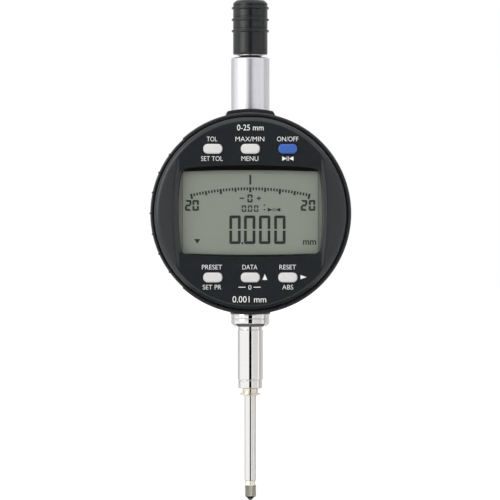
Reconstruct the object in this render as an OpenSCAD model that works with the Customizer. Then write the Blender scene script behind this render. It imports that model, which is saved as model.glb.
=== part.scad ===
// Digital dial indicator with a turning display, a plain clamping stem and a sprung plunger.
// Millimetres. Z runs up along the plunger and the display faces -Y.
// The origin is on the plunger's axis, in the middle of the stem's clamping length.
// Heights are counted from the centre of the dial, and depths forward from the plunger's axis.

/* [Housing] */
// Outer diameter of the round housing
housing_d = 62.7; // [62:0.1:62.8]
// Thickness of the housing's side wall
wall = 2.7; // [2.6:0.05:2.8]
// Depth from the plunger's axis forward to the housing's rim
rim_front = 12.5; // [12:0.1:13]
// Depth from the plunger's axis back to the rear cover's joint
housing_back = 9; // [8.8:0.1:9.4]
// Thickness of the rear cover
rear_cover_t = 2; // [1.8:0.1:2.4]
// Height of the top boss above the round housing
boss_rise = 1.2; // [1:0.1:1.4]
// Half width of the boss at its top
boss_half = 6.9; // [6.6:0.1:7]

/* [Side grip] */
// Half height of the ribbed cover on the left side
cover_half = 23.2; // [22.5:0.1:23.5]
// How far the cover lies below the round housing
cover_drop = 0.3; // [0.2:0.05:0.4]
// Number of grip ribs
rib_count = 7; // [5:1:9]
// Angle between two grip ribs
rib_step = 12; // [10:0.5:12]
// Width of a grip rib
rib_w = 0.55; // [0.4:0.05:0.8]

/* [Display] */
// Gap between the turning display and the housing's rim
bezel_gap = 0.3; // [0.2:0.05:0.4]
// Depth of the flat of the display's face
face_front = 15.3; // [15.2:0.05:15.5]
// Radius of the dome over the face's two side wings
dome_r = 250; // [220:10:280]
// Half width of the flat between the wings
flat_half = 22.1; // [22:0.1:22.4]
// Slope of the step up to each wing, in degrees
wing_slope = 16; // [14:1:20]
// Height at which the wings run out into the flat
wing_end = 18.3; // [17.8:0.1:18.8]
// Width of the window at mid height
window_w = 44.6; // [43.8:0.1:44.8]
// Height of the window at mid width
window_h = 26.1; // [25.8:0.05:26.3]
// Turn of the display to each side, in degrees
display_turn = 135; // [90:5:135]

/* [Buttons] */
// Width of a button
button_w = 5.9; // [5.6:0.1:6.1]
// Height of a button
button_h = 3.05; // [2.8:0.05:3.2]
// Distance between two neighbouring buttons
button_pitch = 11.6; // [11:0.1:11.8]
// Height of the button rows above and below the dial's centre
button_row = 19.9; // [19.8:0.1:20.1]
// How far a button stands out of the face
button_proud = 0.7; // [0.65:0.05:0.9]
// Travel of a button
button_travel = 0.6; // [0.4:0.05:0.6]

/* [Stem] */
// Diameter of the clamping stem
stem_d = 8; // [8:1:8]
// Length of the stem that a clamp may hold
stem_len = 15.5; // [15:0.1:16]
// Diameter of the collar under the housing
collar_d = 12.05; // [11.8:0.05:12.2]
// Height from the dial's centre down to the collar's seat
collar_top = 31.4; // [31.3:0.05:31.5]
// Length of the collar
collar_len = 4; // [3.8:0.1:4.2]

/* [Plunger] */
// Diameter of the plunger
plunger_d = 3.7; // [3.6:0.05:3.8]
// Measuring travel of the plunger
stroke = 25; // [20:1:25]
// Height from the dial's centre down to the plunger's lower end
plunger_low = 83.8; // [83.4:0.1:84.4]
// Length of the contact point, with its ball
tip_len = 6.3; // [6.2:0.1:6.5]
// Diameter of the contact point's knurled barrel
knurl_d = 4; // [3.9:0.1:4.2]

/* [Top] */
// Diameter of the upper sleeve
sleeve_d = 12; // [11.8:0.1:12.2]
// Height of the upper sleeve's top above the dial's centre
sleeve_top = 49; // [48.6:0.1:49.2]
// Diameter of the lifting cap
cap_d = 10.8; // [10.6:0.1:10.9]
// Length of the lifting cap
cap_len = 17.1; // [17:0.1:18]
// Diameter of the lifting cap's ribs
cap_rib_d = 11.7; // [11.4:0.1:11.8]

/* [Hidden] */
$fn = 96;
eps = 0.01;

// Running clearance round the plunger, and the slack of parts that are only put together
run = 0.03;
slack = 0.1;

// Stem, counted down from the dial's centre
stem_neck = 1.1;
stem_top = collar_top + collar_len + stem_neck;
stem_low = stem_top + stem_len;
dial_z = (stem_top + stem_low) / 2;
stem_r = stem_d / 2;
stem_end = stem_low + 2.8;
stem_end_r = 3.8;
stem_bore_r = 2.3;
bush_r = 2.8;
thread_top = 25.4;
nut_seat = 27.9;
nut_t = 2.3;
nut_flats = 10;
stem_pad_r = 6.3;
bush_seat = stem_end - 6;

// Housing
housing_r = housing_d / 2;
inner_r = housing_r - wall;
cover_r = housing_r - cover_drop;
recess_r = cover_r - 1.15;
rim_bore_r = 30.1;
bulkhead_front = 6.7;
bulkhead_back = 4.3;
boss_foot = 8;
boss_front = 10.5;
sleeve_seat = 31.9;
sleeve_low = 28;
sleeve_thread_r = 5.2;
sleeve_bore_r = 3.4;
sleeve_pad_r = 7.6;
gasket_r = [29.4, 30.4];
gasket_t = 0.6;
head_sink = 0.8;
hex_r = 0.8;
rear_screws = [[-16.5, -19.5], [16.5, -19.5], [16.5, 19.5], [-16.5, 19.5]];
frame_points = [[-6, -22.5], [13, -15.5], [13, 15.5], [-6, 22.5]];
post_r = 2.3;
screw_r = 1;
frame_back = 5.3;
frame_t = 1.7;
sensor_x = [4, 13.4];
sensor_half = 11;
sensor_t = 1.6;
sensor_screws = [[11.4, -9.2], [11.4, 9.2]];
sensor_head_t = 0.9;
rail_screw_z = [-16.2, 18.5];
cable_half = 2.5;
cable_t = 0.25;
socket_f = [-4.5, 2.5];
socket_z = [-19.5, -14.8];

// Display
bezel_r = rim_bore_r - bezel_gap;
bezel_wall = 2.2;
back_plate_front = 8.4;
back_plate_back = 7;
plate_back = 12.9;
lens_front = 14.1;
dome_top = face_front + (flat_half ^ 2 + wing_end ^ 2) / (2 * dome_r);
hub_r = 9;
hub_bore_r = 7;
hub_back = 3;
track_r = 24;
lock_ring_r = 12;
stop_r = 20;
stop_pin_r = 1;
stop_margin = 3.4;
board_back = 8.9;
board_front = 10.5;
mat_back = board_front + 0.35;
mat_top = board_front + 0.75;
lcd_half = [22.6, 14.2];
lcd_gap = 0.5;
window_z = 0.15;
bezel_posts = [for (a = [45:90:315]) [26 * cos(a), 26 * sin(a)]];
side_bulge = 0.95;
end_bulge = 0.6;
top_bevel = 1.5;
low_bevel = 0.75;

// Plunger train
plunger_r = plunger_d / 2;
fit_r = plunger_r + 0.01;
cap_low = sleeve_top + 0.83;
cap_top = cap_low + cap_len;
cap_hole = 4.6;
cap_ribs = [for (drop = [2.5, 6.15, 9.7]) cap_top - drop];
hub_low = -14;
hub_high = -6;
hub_half = [3.2, 2.7];
scale_x = [5.8, 9.2];
scale_z = [-26.8, 1.8];
seat_z = [2.6, 4];
rail_x = [-7, -5];
rail_z = [-17.5, 19.8];
pin_z = -10;
pin_r = 0.75;
carrier_screw_z = [pin_z - 2, pin_z + 2];
carrier_screw_r = 0.74;
seat_r = 2.85;
spring_turns = 20;
spring_r = 2.55;
wire_r = 0.22;
spring_top = 44.9;
pilot_r = 1.2;
pilot_len = 4;
neck_r = 1.6;
neck_len = 1.1;
knurl_end = 4.95;
knurl_edge = 0.25;
ball_r = 0.85;

// Battery drawer
battery_r = 10;
battery_x = -19;
battery_f = [-4.95, -1.75];
battery_step = 0.35;
tray_f = [-6.3, -0.9];
tray_half = 11.8;
tray_end = -8.4;
cover_f = [-7.4, 5.6];

// ---- Placing helpers -------------------------------------------------------------------------

// Children keep their heights from the dial's centre
module dial() translate([0, 0, dial_z]) children();

// A flat outline, x and height, thickened between two depths
module slab(back, front) dial() translate([0, -back, 0]) rotate([90, 0, 0])
    linear_extrude(front - back) children();

// A round post that runs from back to front
module post(at, r, back, front) slab(back, front) translate(at) circle(r);

// A profile of radius and depth, turned about the display's axis
module turned() dial() rotate([90, 0, 0]) rotate_extrude() children();

// A profile of radius and height, turned about the plunger's axis
module spun() dial() rotate_extrude() children();

// A round bar on the plunger's axis
module bar(r, low, high) dial() translate([0, 0, low]) cylinder(high - low, r = r);

// A ring on the plunger's axis
module ring(r_out, r_in, low, high) difference() {
    bar(r_out, low, high);
    bar(r_in, low - 1, high + 1);
}

// A box between two x, two depths and two heights
module block(x, f, z) dial() translate([x[0], -f[1], z[0]])
    cube([x[1] - x[0], f[1] - f[0], z[1] - z[0]]);

// A pan-head screw along the depth, head at the back
module back_screw(at, head_r, head_t, seat, tip) {
    post(at, head_r, -seat - head_t, -seat);
    post(at, screw_r, -seat - eps, -tip);
}

// A hexagonal socket sunk into a screw's head, between two depths
module hex_sink(at, r, back, front) slab(back, front) translate(at) circle(r, $fn = 6);

// A rectangle with round corners
module rounded(w, h, r) {
    square([w, h - 2 * r], center = true);
    square([w - 2 * r, h], center = true);
    for (x = [-1, 1], z = [-1, 1]) translate([x * (w / 2 - r), z * (h / 2 - r)]) circle(r);
}

// ---- Housing ---------------------------------------------------------------------------------

module grip_ribs() intersection() {
    circle(housing_r - 0.02);
    for (i = [0:rib_count - 1])
        rotate(180 + (i - (rib_count - 1) / 2) * rib_step)
            translate([recess_r + 0.5, -rib_w / 2]) square([3, rib_w]);
}

// The stretch of the drum's left side that the ribbed cover takes up
module left_band(half) translate([-housing_r - 2, -half]) square([housing_r - 10, 2 * half]);

module drum_outline() {
    difference() {
        circle(housing_r);
        intersection() {
            difference() {
                circle(housing_r + 1);
                circle(cover_r);
            }
            left_band(cover_half);
        }
    }
    grip_ribs();
}

module boss_outline() {
    foot_z = sqrt(housing_r ^ 2 - boss_foot ^ 2);
    top_z = sqrt((housing_r + boss_rise) ^ 2 - boss_half ^ 2);
    intersection() {
        circle(housing_r + boss_rise);
        polygon([
            [-boss_foot, foot_z - 2], [boss_foot, foot_z - 2], [boss_foot, foot_z],
            [boss_half, top_z], [boss_half, top_z + 2], [-boss_half, top_z + 2],
            [-boss_half, top_z], [-boss_foot, foot_z],
        ]);
    }
}

module housing_shell() color("#2b2d30") difference() {
    union() {
        difference() {
            slab(-housing_back, rim_front) drum_outline();
            slab(-housing_back - 1, bulkhead_back) circle(inner_r);
        }
        slab(-housing_back, boss_front) difference() {
            boss_outline();
            circle(inner_r);
        }
        bar(stem_pad_r, -collar_top, -nut_seat);
        bar(sleeve_pad_r, sleeve_low, sleeve_low + 2);
        for (p = rear_screws) post(p, post_r, -housing_back, bulkhead_back + eps);
        for (p = frame_points) post(p, post_r, -frame_back, bulkhead_back + eps);
    }
    slab(bulkhead_front, rim_front + 1) circle(rim_bore_r);
    slab(bulkhead_back - 1, bulkhead_front + 1) circle(hub_r + 0.06);
    stop_groove();
    bar(sleeve_thread_r + 0.02, sleeve_low - 1, sleeve_seat + 1);
    bar(sleeve_d / 2 + 0.03, sleeve_seat, sleeve_seat + 3);
    bar(stem_r + 0.02, -collar_top - 1, -nut_seat + 1);
    bar(nut_flats / 2 / cos(30) + 0.2, -nut_seat, -nut_seat + nut_t + 0.5);
    slab(cover_f[0] - slack, cover_f[1] + slack) intersection() {
        difference() {
            circle(housing_r + 1);
            circle(recess_r);
        }
        left_band(cover_half);
    }
    wall_cut(tray_f, [-tray_half, tray_half]);
    wall_cut(socket_f, socket_z);
    slab(-housing_back - 1, -housing_back + gasket_t) difference() {
        circle(gasket_r[1]);
        circle(gasket_r[0]);
    }
    for (p = rear_screws) post(p, screw_r + 0.05, -housing_back - 1, -housing_back + 7.5);
    for (p = frame_points) post(p, screw_r + 0.05, -frame_back - 1, -frame_back + 6);
}

// An opening through the left wall, a little larger than what passes through it
module wall_cut(f, z) block([-housing_r, -20], [f[0] - slack, f[1] + slack], [z[0] - slack, z[1] + slack]);

// The groove that the display's stop pin runs in
module stop_groove() dial() rotate([90, 0, 0]) rotate([0, 0, 90 - display_turn - stop_margin])
    rotate_extrude(angle = 2 * (display_turn + stop_margin))
        translate([stop_r - stop_pin_r - 0.2, 5]) square([2 * stop_pin_r + 0.4, 3]);

module rear_cover() color("#26282b") difference() {
    turned() polygon([
        [0, -housing_back], [cover_r, -housing_back],
        [cover_r, -housing_back - rear_cover_t + 0.7],
        [cover_r - 0.7, -housing_back - rear_cover_t], [0, -housing_back - rear_cover_t],
    ]);
    for (p = rear_screws) {
        post(p, screw_r + 0.15, -housing_back - 5, -housing_back + 1);
        post(p, 2.1, -housing_back - 5, -housing_back - head_sink);
    }
}

module rear_gasket() color("#151515") slab(-housing_back + 0.05, -housing_back + gasket_t - 0.05)
    difference() {
        circle(gasket_r[1] - 0.05);
        circle(gasket_r[0] + 0.05);
    }

module rear_cover_screws() color("silver") for (p = rear_screws) difference() {
    back_screw(p, 1.95, 1.1, housing_back + head_sink, housing_back - 6.5);
    hex_sink(p, hex_r, -housing_back - 3, -housing_back - head_sink - 0.5);
}

module top_sleeve() color("#c4c5c7") spun() polygon([
    [sleeve_bore_r, sleeve_low], [sleeve_thread_r, sleeve_low],
    [sleeve_thread_r, sleeve_seat], [sleeve_d / 2, sleeve_seat],
    [sleeve_d / 2, sleeve_top - 0.4], [sleeve_d / 2 - 0.4, sleeve_top],
    [sleeve_bore_r, sleeve_top],
]);

module upper_bush() color("#b08d57")
    ring(sleeve_bore_r, plunger_r + run, spring_top, sleeve_top - 0.6);

module wiper_ring() color("#1c1c1c")
    ring(sleeve_bore_r, plunger_r + 0.08, sleeve_top - 0.6, sleeve_top - 0.1);

module clamping_stem() color("#d9dadb") spun() polygon([
    [stem_bore_r, -thread_top], [stem_r, -thread_top],
    [stem_r, -collar_top - collar_len], [stem_r - 0.2, -collar_top - collar_len],
    [stem_r - 0.2, -stem_top + 0.1], [stem_r, -stem_top],
    [stem_r, -stem_low], [stem_r - 0.3, -stem_low - 0.1],
    [stem_r - 0.3, -stem_low - 0.3], [stem_end_r, -stem_low - 0.4],
    [stem_end_r - 0.1, -stem_end + 0.2], [stem_end_r - 0.3, -stem_end],
    [bush_r, -stem_end], [bush_r, -bush_seat], [stem_bore_r, -bush_seat],
]);

module stem_collar() color("#d2d3d5") spun() polygon([
    [stem_r + 0.02, -collar_top], [collar_d / 2, -collar_top],
    [collar_d / 2, -collar_top - 1.4], [collar_d / 2 - 0.2, -collar_top - 1.5],
    [collar_d / 2, -collar_top - 1.6], [collar_d / 2, -collar_top - collar_len + 1],
    [collar_d / 2 - 0.35, -collar_top - collar_len + 0.35],
    [collar_d / 2 - 1.1, -collar_top - collar_len], [stem_r + 0.02, -collar_top - collar_len],
]);

module stem_lock_nut() color("#b9babc") difference() {
    dial() translate([0, 0, -nut_seat]) rotate([0, 0, 30])
        cylinder(nut_t, r = nut_flats / 2 / cos(30), $fn = 6);
    bar(stem_r + 0.02, -nut_seat - 1, -nut_seat + nut_t + 1);
}

module lower_bush() color("#a58a63") spun() polygon([
    [plunger_r + run, -bush_seat], [bush_r, -bush_seat], [bush_r, -stem_end],
    [2.45, -stem_end], [2.45, -stem_end - 1.5], [3.2, -stem_end - 1.5],
    [3.2, -stem_end - 1.97], [2.25, -stem_end - 1.97], [2.25, -stem_end - 2.3],
    [plunger_r + run, -stem_end - 2.3],
]);

// ---- Inside the housing ----------------------------------------------------------------------

module guide_frame() color("#8c9196") difference() {
    slab(-frame_back - frame_t, -frame_back) difference() {
        union() {
            translate([-7.6, -17]) square([22.8, 34]);
            translate([-8.4, -24.7]) square([4.8, 49.4]);
        }
        translate([-1.5, -13]) square([4.5, 26]);
    }
    for (p = frame_points) post(p, screw_r + 0.1, -frame_back - 3, -frame_back + 1);
    for (p = sensor_screws) post(p, 0.85, -frame_back - 3, -frame_back + 1);
    for (z = rail_screw_z) post([-6, z], 0.65, -frame_back - 3, -frame_back + 1);
}

module guide_rail() color("#9fa4a8") difference() {
    union() {
        block(rail_x, [-2, 2], rail_z);
        block(rail_x, [-frame_back, -1], [rail_z[0], rail_z[0] + 2.6]);
        block(rail_x, [-frame_back, -1], [rail_z[1] - 2.6, rail_z[1]]);
    }
    block([rail_x[0] - 1, rail_x[1] + 1], [-pin_r - 0.05, pin_r + 0.05],
        [pin_z - 1.6, pin_z + stroke + 1.6]);
}

module frame_screws() color("silver") for (p = frame_points) difference() {
    back_screw(p, 1.9, 1.1, frame_back + frame_t, frame_back - 5);
    hex_sink(p, hex_r, -frame_back - frame_t - 2, -frame_back - frame_t - 0.6);
}

module sensor_board() color("#1f6b3f") difference() {
    block(sensor_x, [-frame_back, -frame_back + sensor_t], [-sensor_half, sensor_half]);
    for (p = sensor_screws) post(p, 0.9, -frame_back - 1, -frame_back + 3);
}

module reader_chip() color("#17181a")
    block([5.3, 9.7], [-frame_back + sensor_t, -2.6], [-2.6, 2.6]);

module sensor_board_screws() color("silver") for (p = sensor_screws) difference() {
    top = -frame_back + sensor_t;
    union() {
        post(p, 1.5, top, top + sensor_head_t);
        post(p, 0.8, -frame_back - 1.5, top + eps);
    }
    hex_sink(p, 0.6, top + sensor_head_t / 2, top + 2);
}

module contact_block() color("#2f3133") block([-7.9, -4.6], [-5.05, -2.2], [-3, 9]);

module battery_contacts() color("#d4b25a") {
    block([-13, -5], [-5.25, -5.05], [-1.5, 1.5]);
    block([-13, -7.9], [-1.55, -1.35], [5, 8]);
    block([-8.1, -7.9], [-4.5, -1.35], [5, 8]);
}

module data_socket() color("#1d1e20") difference() {
    intersection() {
        block([-29.6, -21.5], socket_f, socket_z);
        slab(socket_f[0] - 1, socket_f[1] + 1) circle(recess_r - 0.2);
    }
    block([-30, -23], [socket_f[0] + 1.1, socket_f[1] - 1.1], [socket_z[0] + 1.3, socket_z[1] - 1.4]);
}

// The wire of the return spring, swept along its helix
module return_spring() color("#c9cbce") {
    sides = 6;
    steps = 12;
    low = seat_z[1] + wire_r;
    rise = spring_top - seat_z[1] - 2 * wire_r;
    rings = spring_turns * steps;
    points = [
        for (i = [0:rings], k = [0:sides - 1])
            let (a = 360 * i / steps, b = 360 * k / sides, r = spring_r + wire_r * cos(b))
            [r * cos(a), r * sin(a), low + rise * i / rings + wire_r * sin(b)]
    ];
    quads = [
        for (i = [0:rings - 1], k = [0:sides - 1])
            let (n = (k + 1) % sides)
            [i * sides + k, (i + 1) * sides + k, (i + 1) * sides + n, i * sides + n]
    ];
    first = [for (k = [0:sides - 1]) k];
    last = [for (k = [sides - 1:-1:0]) rings * sides + k];
    dial() polyhedron(points, concat(quads, [first, last]));
}

// A flat strip that leaves the sensor board, runs across and passes through the display's hub
module link_cable() color("#b5762c") {
    near_x = [4.5, 4.5 + cable_t];
    far_x = [12.75 - cable_t, 12.75];
    run_f = [2.6, 2.6 + cable_t];
    block(near_x, [run_f[0], 8.3], [-cable_half, cable_half]);
    block([near_x[0], far_x[1]], run_f, [-cable_half, cable_half]);
    block(far_x, [-frame_back + sensor_t, run_f[1]], [-cable_half, cable_half]);
}

// ---- Turning display -------------------------------------------------------------------------

// The solid under the dome, with a rounded outer edge
module face_blank() {
    edge = dome_top - bezel_r ^ 2 / (2 * dome_r);
    intersection() {
        turned() polygon([
            [0, back_plate_front], [bezel_r, back_plate_front],
            [bezel_r, edge - 1], [bezel_r - 0.25, edge - 0.45],
            [bezel_r - 0.7, edge - 0.12], [bezel_r - 1.3, edge + 0.2], [bezel_r - 1.3, dome_top + 1],
            [0, dome_top + 1],
        ]);
        dial() translate([0, dome_r - dome_top, 0]) sphere(dome_r, $fn = 200);
    }
}

// The cut that leaves the flat between the two wings
module flat_cut() {
    rise = 4;
    run_out = rise / tan(wing_slope);
    dial() translate([0, 0, -40]) linear_extrude(80) polygon([
        [-flat_half, -face_front], [flat_half, -face_front],
        [flat_half + run_out, -face_front - rise], [-flat_half - run_out, -face_front - rise],
    ]);
}

// A disc so large that its edge is the window's slightly bowed side
module bow(half, chord, bulge, grow) {
    r = (chord ^ 2 / 4 + bulge ^ 2) / (2 * bulge);
    back = lens_front - 2;
    front = face_front + 1;
    slope = grow / (face_front - lens_front);
    translate([half - r, -back, 0]) rotate([90, 0, 0])
        cylinder(front - back, r1 = r - 2 * slope, r2 = r + slope * (front - lens_front), $fn = 200);
}

module window_cut() dial() translate([0, 0, window_z]) intersection() {
    bow(window_w / 2, window_h, side_bulge, 0);
    rotate([0, 180, 0]) mirror([0, 0, 1]) bow(window_w / 2, window_h, side_bulge, 0);
    rotate([0, -90, 0]) bow(window_h / 2, window_w, end_bulge, top_bevel);
    rotate([0, 90, 0]) bow(window_h / 2, window_w, end_bulge, low_bevel);
}

module each_button() for (row = [1, -1], col = [-1:1])
    translate([col * button_pitch, row * button_row]) children();

module display_bezel() color("#26292b") difference() {
    face_blank();
    flat_cut();
    difference() {
        slab(back_plate_front - 1, plate_back) circle(bezel_r - bezel_wall);
        for (p = bezel_posts) post(p, post_r - 0.1, back_plate_front - 2, plate_back + 1);
    }
    slab(plate_back - 1, lens_front) translate([0, window_z])
        square([2 * lcd_half[0] + 0.2, 2 * lcd_half[1] + 0.2], center = true);
    window_cut();
    slab(plate_back - 1, face_front + 2) each_button()
        rounded(button_w + 0.24, button_h + 0.24, button_h / 2 - 0.1);
    for (p = bezel_posts) post(p, screw_r + 0.02, back_plate_front - 1, back_plate_front + 3.6);
}

module window_lens() color("#9aa29b", 0.4) slab(plate_back, lens_front) translate([0, window_z])
    square([2 * lcd_half[0], 2 * lcd_half[1]], center = true);

module lcd_panel() color("#858b7d") slab(board_front + lcd_gap, plate_back - 0.05)
    translate([0, window_z]) square([2 * lcd_half[0], 2 * lcd_half[1]], center = true);

module lcd_frame() color("#d5d6d2") slab(board_front, plate_back - 0.4) difference() {
    intersection() {
        translate([0, window_z])
            square([2 * lcd_half[0] + 2.2, 2 * lcd_half[1] + 2.2], center = true);
        circle(bezel_r - bezel_wall - 0.2);
    }
    translate([0, window_z])
        square([2 * lcd_half[0] + 0.1, 2 * lcd_half[1] + 0.1], center = true);
}

module zebra_strips() color("#3a3a3a") for (side = [-1, 1]) slab(board_front, board_front + lcd_gap)
    translate([0, window_z + side * (lcd_half[1] - 1.3)]) square([42, 1.8], center = true);

module main_board() color("#1f6b3f") slab(board_back, board_front) difference() {
    circle(bezel_r - bezel_wall - 0.3);
    for (p = bezel_posts) translate(p) circle(post_r + 0.2);
    circle(1.5);
}

module keypad_mat() color("#6d7073") for (row = [1, -1]) {
    slab(mat_back, mat_back + 0.25)
        translate([0, row * button_row]) square([2 * button_pitch + 6.4, 4.8], center = true);
    for (col = [-1:1])
        post([col * button_pitch, row * button_row], 1.2, mat_back, mat_top);
}

module dome_contacts() color("#d9c37a") slab(board_front, board_front + 0.3) each_button()
    circle(2.2);

module display_back_plate() color("#2a2c2e") difference() {
    union() {
        slab(back_plate_back, back_plate_front) circle(bezel_r - 0.2);
        slab(hub_back, back_plate_back + eps) circle(hub_r);
    }
    slab(hub_back - 1, back_plate_front + 1) circle(hub_bore_r);
    slab(back_plate_back - 1, back_plate_back + 0.7) difference() {
        circle(track_r + 0.5);
        circle(track_r - 0.5);
    }
    post([0, stop_r], stop_pin_r, back_plate_back - 1, back_plate_front - 0.3);
    for (p = bezel_posts) {
        post(p, screw_r + 0.1, back_plate_back - 1, back_plate_front + 1);
        post(p, 1.6, back_plate_back - 1, back_plate_back + 0.7);
    }
}

module back_plate_screws() color("silver") for (p = bezel_posts)
    back_screw(p, 1.45, 0.6, -back_plate_back - 0.7, -back_plate_front - 3);

module retaining_ring() color("#b7b8ba") slab(hub_back + 0.1, bulkhead_back - 0.05) difference() {
    circle(lock_ring_r);
    circle(hub_r + 0.03);
    for (a = [0:90:270]) rotate(a) translate([11, -1]) square([2, 2]);
}

module friction_ring() color("#141414") turned() translate([track_r, back_plate_back + 0.15])
    circle(0.42, $fn = 24);

module stop_pin() color("silver") post([0, stop_r], stop_pin_r, 5.3, back_plate_front - 0.3);

// ---- Buttons ---------------------------------------------------------------------------------

// A button with a flange behind the face; it narrows a little at its top
module button(col, row, shade) color(shade) {
    at = [col * button_pitch, row * button_row];
    flange_back = mat_top + button_travel + 0.05;
    flange_front = plate_back - 0.1;
    top = face_front + button_proud;
    slab(flange_back, flange_front) translate(at) rounded(button_w + 1.1, button_h + 1.1, 1);
    slab(flange_front - eps, top - 0.3)
        translate(at) rounded(button_w, button_h, button_h / 2 - 0.2);
    slab(top - 0.3 - eps, top)
        translate(at) rounded(button_w - 0.4, button_h - 0.4, button_h / 2 - 0.4);
}

module button_tolerance() button(-1, 1, "#dedbdb");
module button_menu() button(0, 1, "#dedbdb");
module button_power() button(1, 1, "#4a72c4");
module button_preset() button(-1, -1, "#dedbdb");
module button_data() button(0, -1, "#dedbdb");
module button_reset() button(1, -1, "#dedbdb");

// ---- Plunger ---------------------------------------------------------------------------------

module spindle() color("#dfe0e1") difference() {
    spun() polygon([
        [0, -plunger_low], [plunger_r - 0.2, -plunger_low], [plunger_r, -plunger_low + 0.2],
        [plunger_r, cap_top - cap_hole - 0.4], [plunger_r - 0.3, cap_top - cap_hole - 0.1],
        [0, cap_top - cap_hole - 0.1],
    ]);
    bar(pilot_r + 0.05, -plunger_low - 1, -plunger_low + pilot_len + 1);
}

module lifting_cap() color("#26282b") difference() {
    spun() {
        polygon([
            [0, cap_low], [cap_d / 2 - 0.35, cap_low], [cap_d / 2, cap_low + 0.35],
            [cap_d / 2, cap_top - 1.1], [cap_d / 2 - 0.35, cap_top - 0.4],
            [cap_d / 2 - 1.1, cap_top - 0.05], [0, cap_top],
        ]);
        for (z = cap_ribs) polygon([
            [1, z - 0.33], [cap_rib_d / 2 - 0.15, z - 0.33], [cap_rib_d / 2, z - 0.15],
            [cap_rib_d / 2, z + 0.15], [cap_rib_d / 2 - 0.15, z + 0.33], [1, z + 0.33],
        ]);
    }
    bar(fit_r, cap_low - 1, cap_top - cap_hole);
    for (z = cap_ribs) spun() translate([cap_d / 2 - 0.12, z + 0.84]) square([1, 0.12]);
}

module cap_collar() color("#c9cacc") difference() {
    spun() polygon([
        [0, cap_low], [4, cap_low], [3.9, cap_low - 0.35], [3.5, cap_low - 0.6],
        [2.9, sleeve_top + 0.07], [0, sleeve_top + 0.07],
    ]);
    bar(fit_r, cap_low - 3, cap_low + 1);
}

module scale_carrier() color("#a9adb0") difference() {
    union() {
        block([-hub_half[0], hub_half[0]], [-hub_half[1], hub_half[1]], [hub_low, hub_high]);
        block([2.6, scale_x[1]], [-1.6, 0], [-24.5, scale_z[1]]);
        block([scale_x[0] - 0.2, scale_x[1]], [-1.6, 0], [scale_z[0], -24.4]);
    }
    bar(fit_r, hub_low - 1, hub_high + 1);
    dial() translate([-5, 0, pin_z]) rotate([0, 90, 0]) cylinder(5, r = pin_r + 0.01);
    for (z = carrier_screw_z) post([0, z], carrier_screw_r + 0.01, -5, 0);
}

module carrier_screws() color("#6f7275") for (z = carrier_screw_z) difference() {
    post([0, z], carrier_screw_r, -hub_half[1], -plunger_r - 0.02);
    hex_sink([0, z], 0.35, -hub_half[1] - 1, -hub_half[1] + 0.4);
}

module scale_strip() color("#c7b98a") block(scale_x, [-2.2, -1.6], scale_z);

module anti_rotation_pin() color("silver") dial() translate([-6.6, 0, pin_z]) rotate([0, 90, 0])
    cylinder(4.4, r = pin_r);

module spring_seat() color("#b9babc") ring(seat_r, fit_r, seat_z[0], seat_z[1]);

module contact_tip() color("#7d7f82") spun() {
    top = -plunger_low;
    barrel_r = knurl_d / 2;
    seat = top - tip_len + ball_r - 0.15;
    polygon([
        [0, top + pilot_len], [pilot_r, top + pilot_len], [pilot_r, top], [neck_r, top],
        [neck_r, top - neck_len], [barrel_r - knurl_edge, top - neck_len],
        [barrel_r, top - neck_len - knurl_edge], [barrel_r, top - knurl_end + knurl_edge],
        [barrel_r - knurl_edge, top - knurl_end], [1.25, top - knurl_end], [ball_r, seat], [0, seat],
    ]);
}

module contact_ball() color("#cfd0d2") difference() {
    dial() translate([0, 0, -plunger_low - tip_len + ball_r]) sphere(ball_r, $fn = 48);
    contact_tip();
}

// ---- Battery drawer --------------------------------------------------------------------------

module side_cover() color("#2d2f32") slab(cover_f[0], cover_f[1]) intersection() {
    union() {
        difference() {
            circle(cover_r);
            circle(recess_r + 0.05);
        }
        difference() {
            grip_ribs();
            circle(recess_r + 0.4);
        }
    }
    left_band(cover_half - slack);
}

module battery_tray() color("#303235") difference() {
    intersection() {
        block([-housing_r, tray_end], tray_f, [-tray_half, tray_half]);
        slab(tray_f[0] - 1, tray_f[1] + 1) circle(recess_r + 0.03);
    }
    post([battery_x, 0], battery_r + 0.15, tray_f[0] - 1, battery_f[1] + 0.05);
    block([-14, tray_end + 1], [tray_f[0] - 1, battery_f[1] + 0.05], [-2.2, 2.2]);
    block([-14, tray_end + 1], [battery_f[1] - 1, tray_f[1] + 1], [4.4, 8.6]);
}

module battery() color("#d0d1d3") {
    post([battery_x, 0], battery_r, battery_f[0], battery_f[1] - battery_step);
    post([battery_x, 0], battery_r - 1.1, battery_f[1] - battery_step - eps, battery_f[1]);
}

// ---- Nodes -----------------------------------------------------------------------------------

housing_shell();
rear_cover();
rear_gasket();
rear_cover_screws();
top_sleeve();
upper_bush();
wiper_ring();
clamping_stem();
stem_collar();
stem_lock_nut();
lower_bush();
guide_frame();
guide_rail();
frame_screws();
sensor_board();
reader_chip();
sensor_board_screws();
contact_block();
battery_contacts();
data_socket();
return_spring();
link_cable();
display_bezel();
window_lens();
lcd_panel();
lcd_frame();
zebra_strips();
main_board();
keypad_mat();
dome_contacts();
display_back_plate();
back_plate_screws();
retaining_ring();
friction_ring();
stop_pin();
button_tolerance();
button_menu();
button_power();
button_preset();
button_data();
button_reset();
spindle();
lifting_cap();
cap_collar();
scale_carrier();
carrier_screws();
scale_strip();
anti_rotation_pin();
spring_seat();
contact_tip();
contact_ball();
side_cover();
battery_tray();
battery();
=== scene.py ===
import math

import bmesh
import bpy
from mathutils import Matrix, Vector
from mathutils.geometry import delaunay_2d_cdt


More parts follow.
